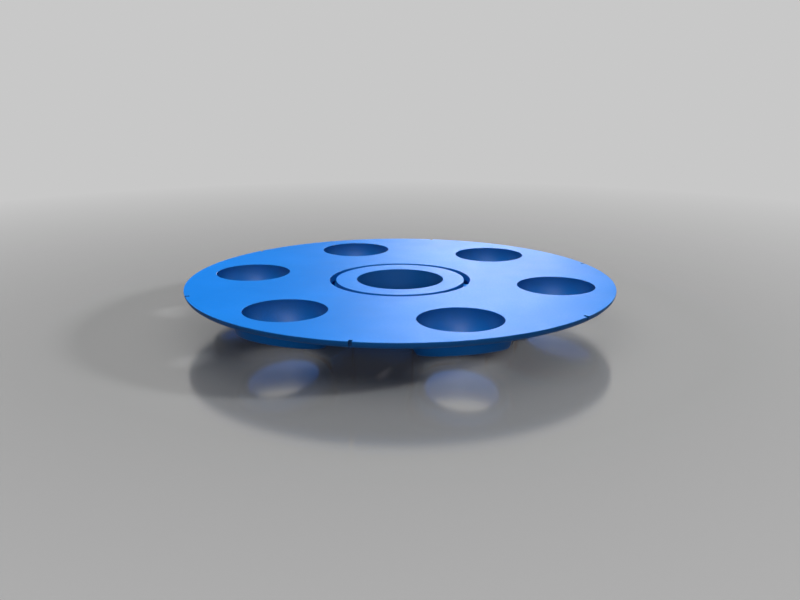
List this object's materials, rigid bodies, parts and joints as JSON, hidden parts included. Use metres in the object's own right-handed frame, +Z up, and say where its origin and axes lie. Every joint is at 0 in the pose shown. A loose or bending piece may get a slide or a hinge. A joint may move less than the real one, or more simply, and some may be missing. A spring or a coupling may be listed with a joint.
{
  "type": "fidget spinner",
  "caption": "Round thin-disc fidget spinner with ball seats around a finger ring that turns on a captive ball race.",
  "frame": {"origin": "on the spin axis, at the level of the hub's and the finger ring's lowest faces", "axes": "+Z up along the spin axis, out of the disc's flat top face; +X through the middle of the first ball seat"},
  "size_m": [0.0678, 0.0678, 0.007],
  "materials": {
    "disc_plastic": "satin azure plastic, smooth top face",
    "ring_plastic": "satin azure plastic, the same as the disc",
    "ball_plastic": "satin azure plastic, lightly polished by running"
  },
  "bodies": {
    "ring": {"finger_ring": "ring_plastic"},
    "disc": {"spinner_disc": "disc_plastic"},
    "balls": {"race_ball_01": "ball_plastic", "race_ball_02": "ball_plastic", "race_ball_03": "ball_plastic", "race_ball_04": "ball_plastic", "race_ball_05": "ball_plastic", "race_ball_06": "ball_plastic", "race_ball_07": "ball_plastic", "race_ball_08": "ball_plastic", "race_ball_09": "ball_plastic", "race_ball_10": "ball_plastic", "race_ball_11": "ball_plastic", "race_ball_12": "ball_plastic"}
  },
  "joints": [
    {"name": "disc_spin", "type": "hinge", "parent": "ring", "child": "disc", "pos_m": [0, 0, 0.0035], "axis": [0, 0, 1], "continuous": true},
    {"name": "ball_orbit", "type": "hinge", "parent": "ring", "child": "balls", "pos_m": [0, 0, 0.0035], "axis": [0, 0, 1], "continuous": true}
  ],
  "couplings": [
    {"joint": "ball_orbit", "follows": "disc_spin", "ratio": 0.607}
  ]
}
